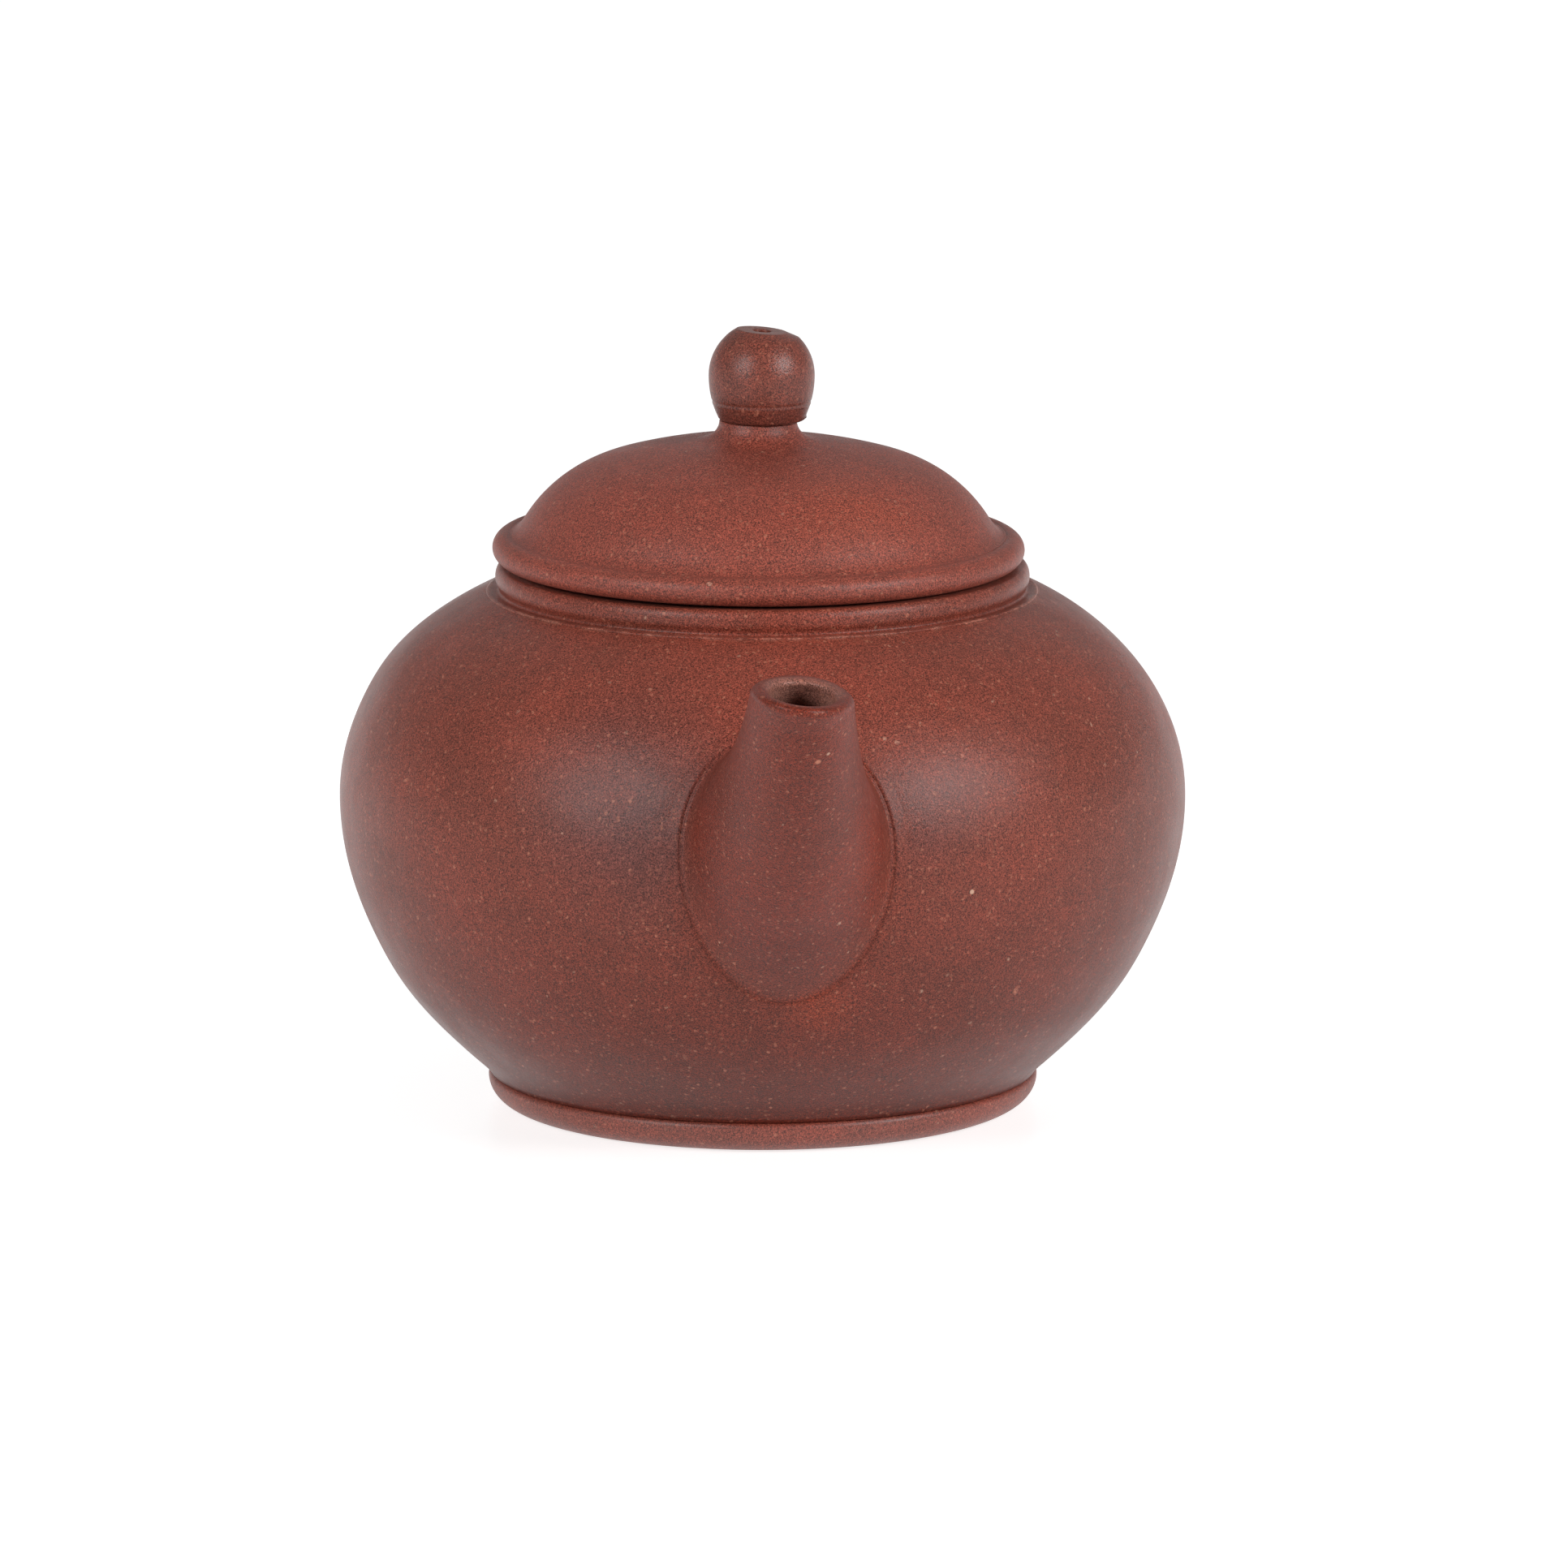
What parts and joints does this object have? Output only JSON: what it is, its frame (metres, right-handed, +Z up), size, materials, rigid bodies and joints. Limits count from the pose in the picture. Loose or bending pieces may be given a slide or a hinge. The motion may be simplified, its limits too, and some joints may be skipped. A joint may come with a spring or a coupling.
{
  "type": "teapot",
  "caption": "Small squat round clay teapot with a tapered spout, ear-shaped loop handle, beaded lid rim, ball knob and a lid that lifts off its flanged seat.",
  "frame": {"origin": "on the pot's axis at the level of the table it stands on", "axes": "+Z up along the pot's axis, the spout points along -Y and the handle along +Y"},
  "size_m": [0.075, 0.1271, 0.0693],
  "materials": {
    "clay_wall": "unglazed matt reddish-brown stoneware, fine grain with small orange specks",
    "clay_foot": "unglazed matt reddish-brown stoneware, a little duller",
    "clay_spout": "unglazed matt brown stoneware, fine grain",
    "clay_handle": "unglazed matt reddish-brown stoneware, smoothed by handling",
    "clay_lid": "unglazed matt reddish-brown stoneware, fine grain with small orange specks",
    "clay_knob": "unglazed stoneware, slightly polished and darker from handling"
  },
  "bodies": {
    "pot": {"body_wall": "clay_wall", "base_disc": "clay_foot", "foot_ring": "clay_foot", "shoulder_disc": "clay_wall", "neck_ring": "clay_wall", "spout": "clay_spout", "handle": "clay_handle"},
    "lid": {"lid_dome": "clay_lid", "lid_rim": "clay_lid", "lid_flange": "clay_lid", "knob": "clay_knob"}
  },
  "joints": [
    {"name": "lid_lift", "type": "slide", "parent": "pot", "child": "lid", "axis": [0, 0, 1], "range_m": [0, 0.04]}
  ]
}
